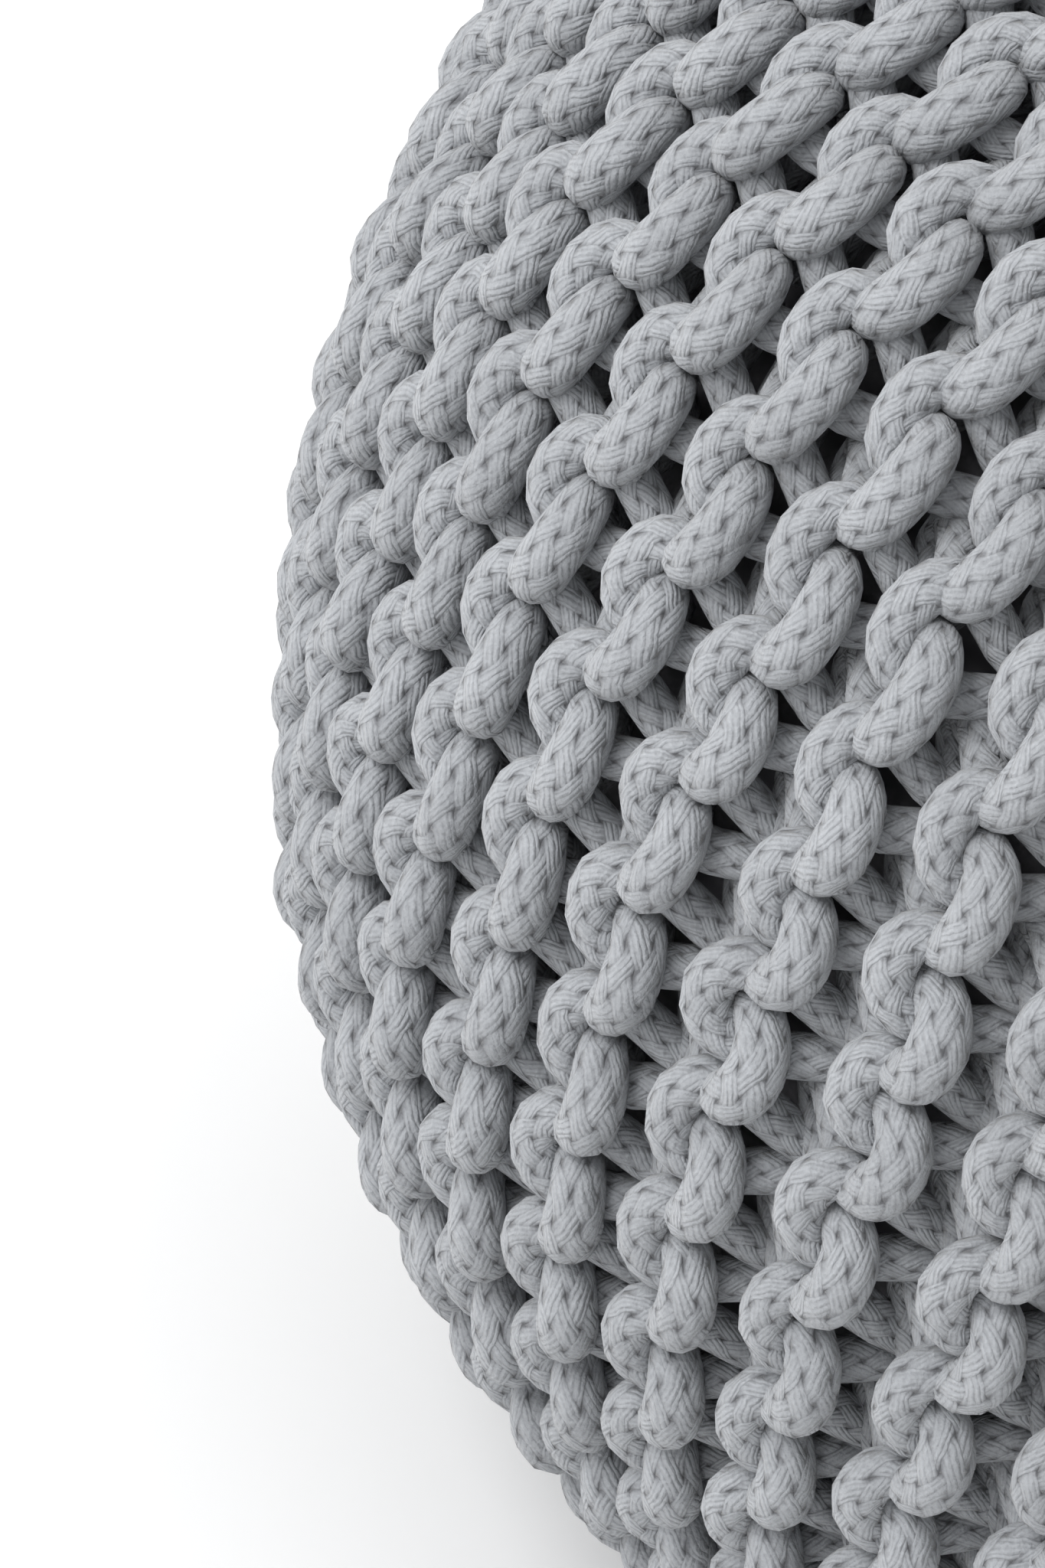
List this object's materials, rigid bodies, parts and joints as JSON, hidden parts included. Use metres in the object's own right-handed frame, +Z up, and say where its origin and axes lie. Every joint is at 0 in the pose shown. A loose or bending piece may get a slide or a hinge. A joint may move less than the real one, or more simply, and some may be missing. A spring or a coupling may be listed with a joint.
{
  "type": "knitted pouf",
  "caption": "Round floor pouf: a thick braided-rope knitted cover, its courses running from crown to foot, drawn over a filled cloth casing.",
  "frame": {"origin": "on the floor under the middle of the pouf, at the centre of its flat foot", "axes": "+Z up from the foot to the gathered crown; the pouf is round, so +X and +Y are any two level directions, with -Y the side seen first"},
  "size_m": [0.4, 0.4, 0.3303],
  "materials": {
    "rope_knit": "light cool grey braided cotton rope, matt and slightly fuzzy",
    "casing_cloth": "charcoal plain-woven casing cloth, matt"
  },
  "bodies": {
    "root": {"knitted_cover": "rope_knit", "inner_casing": "casing_cloth"}
  },
  "joints": []
}
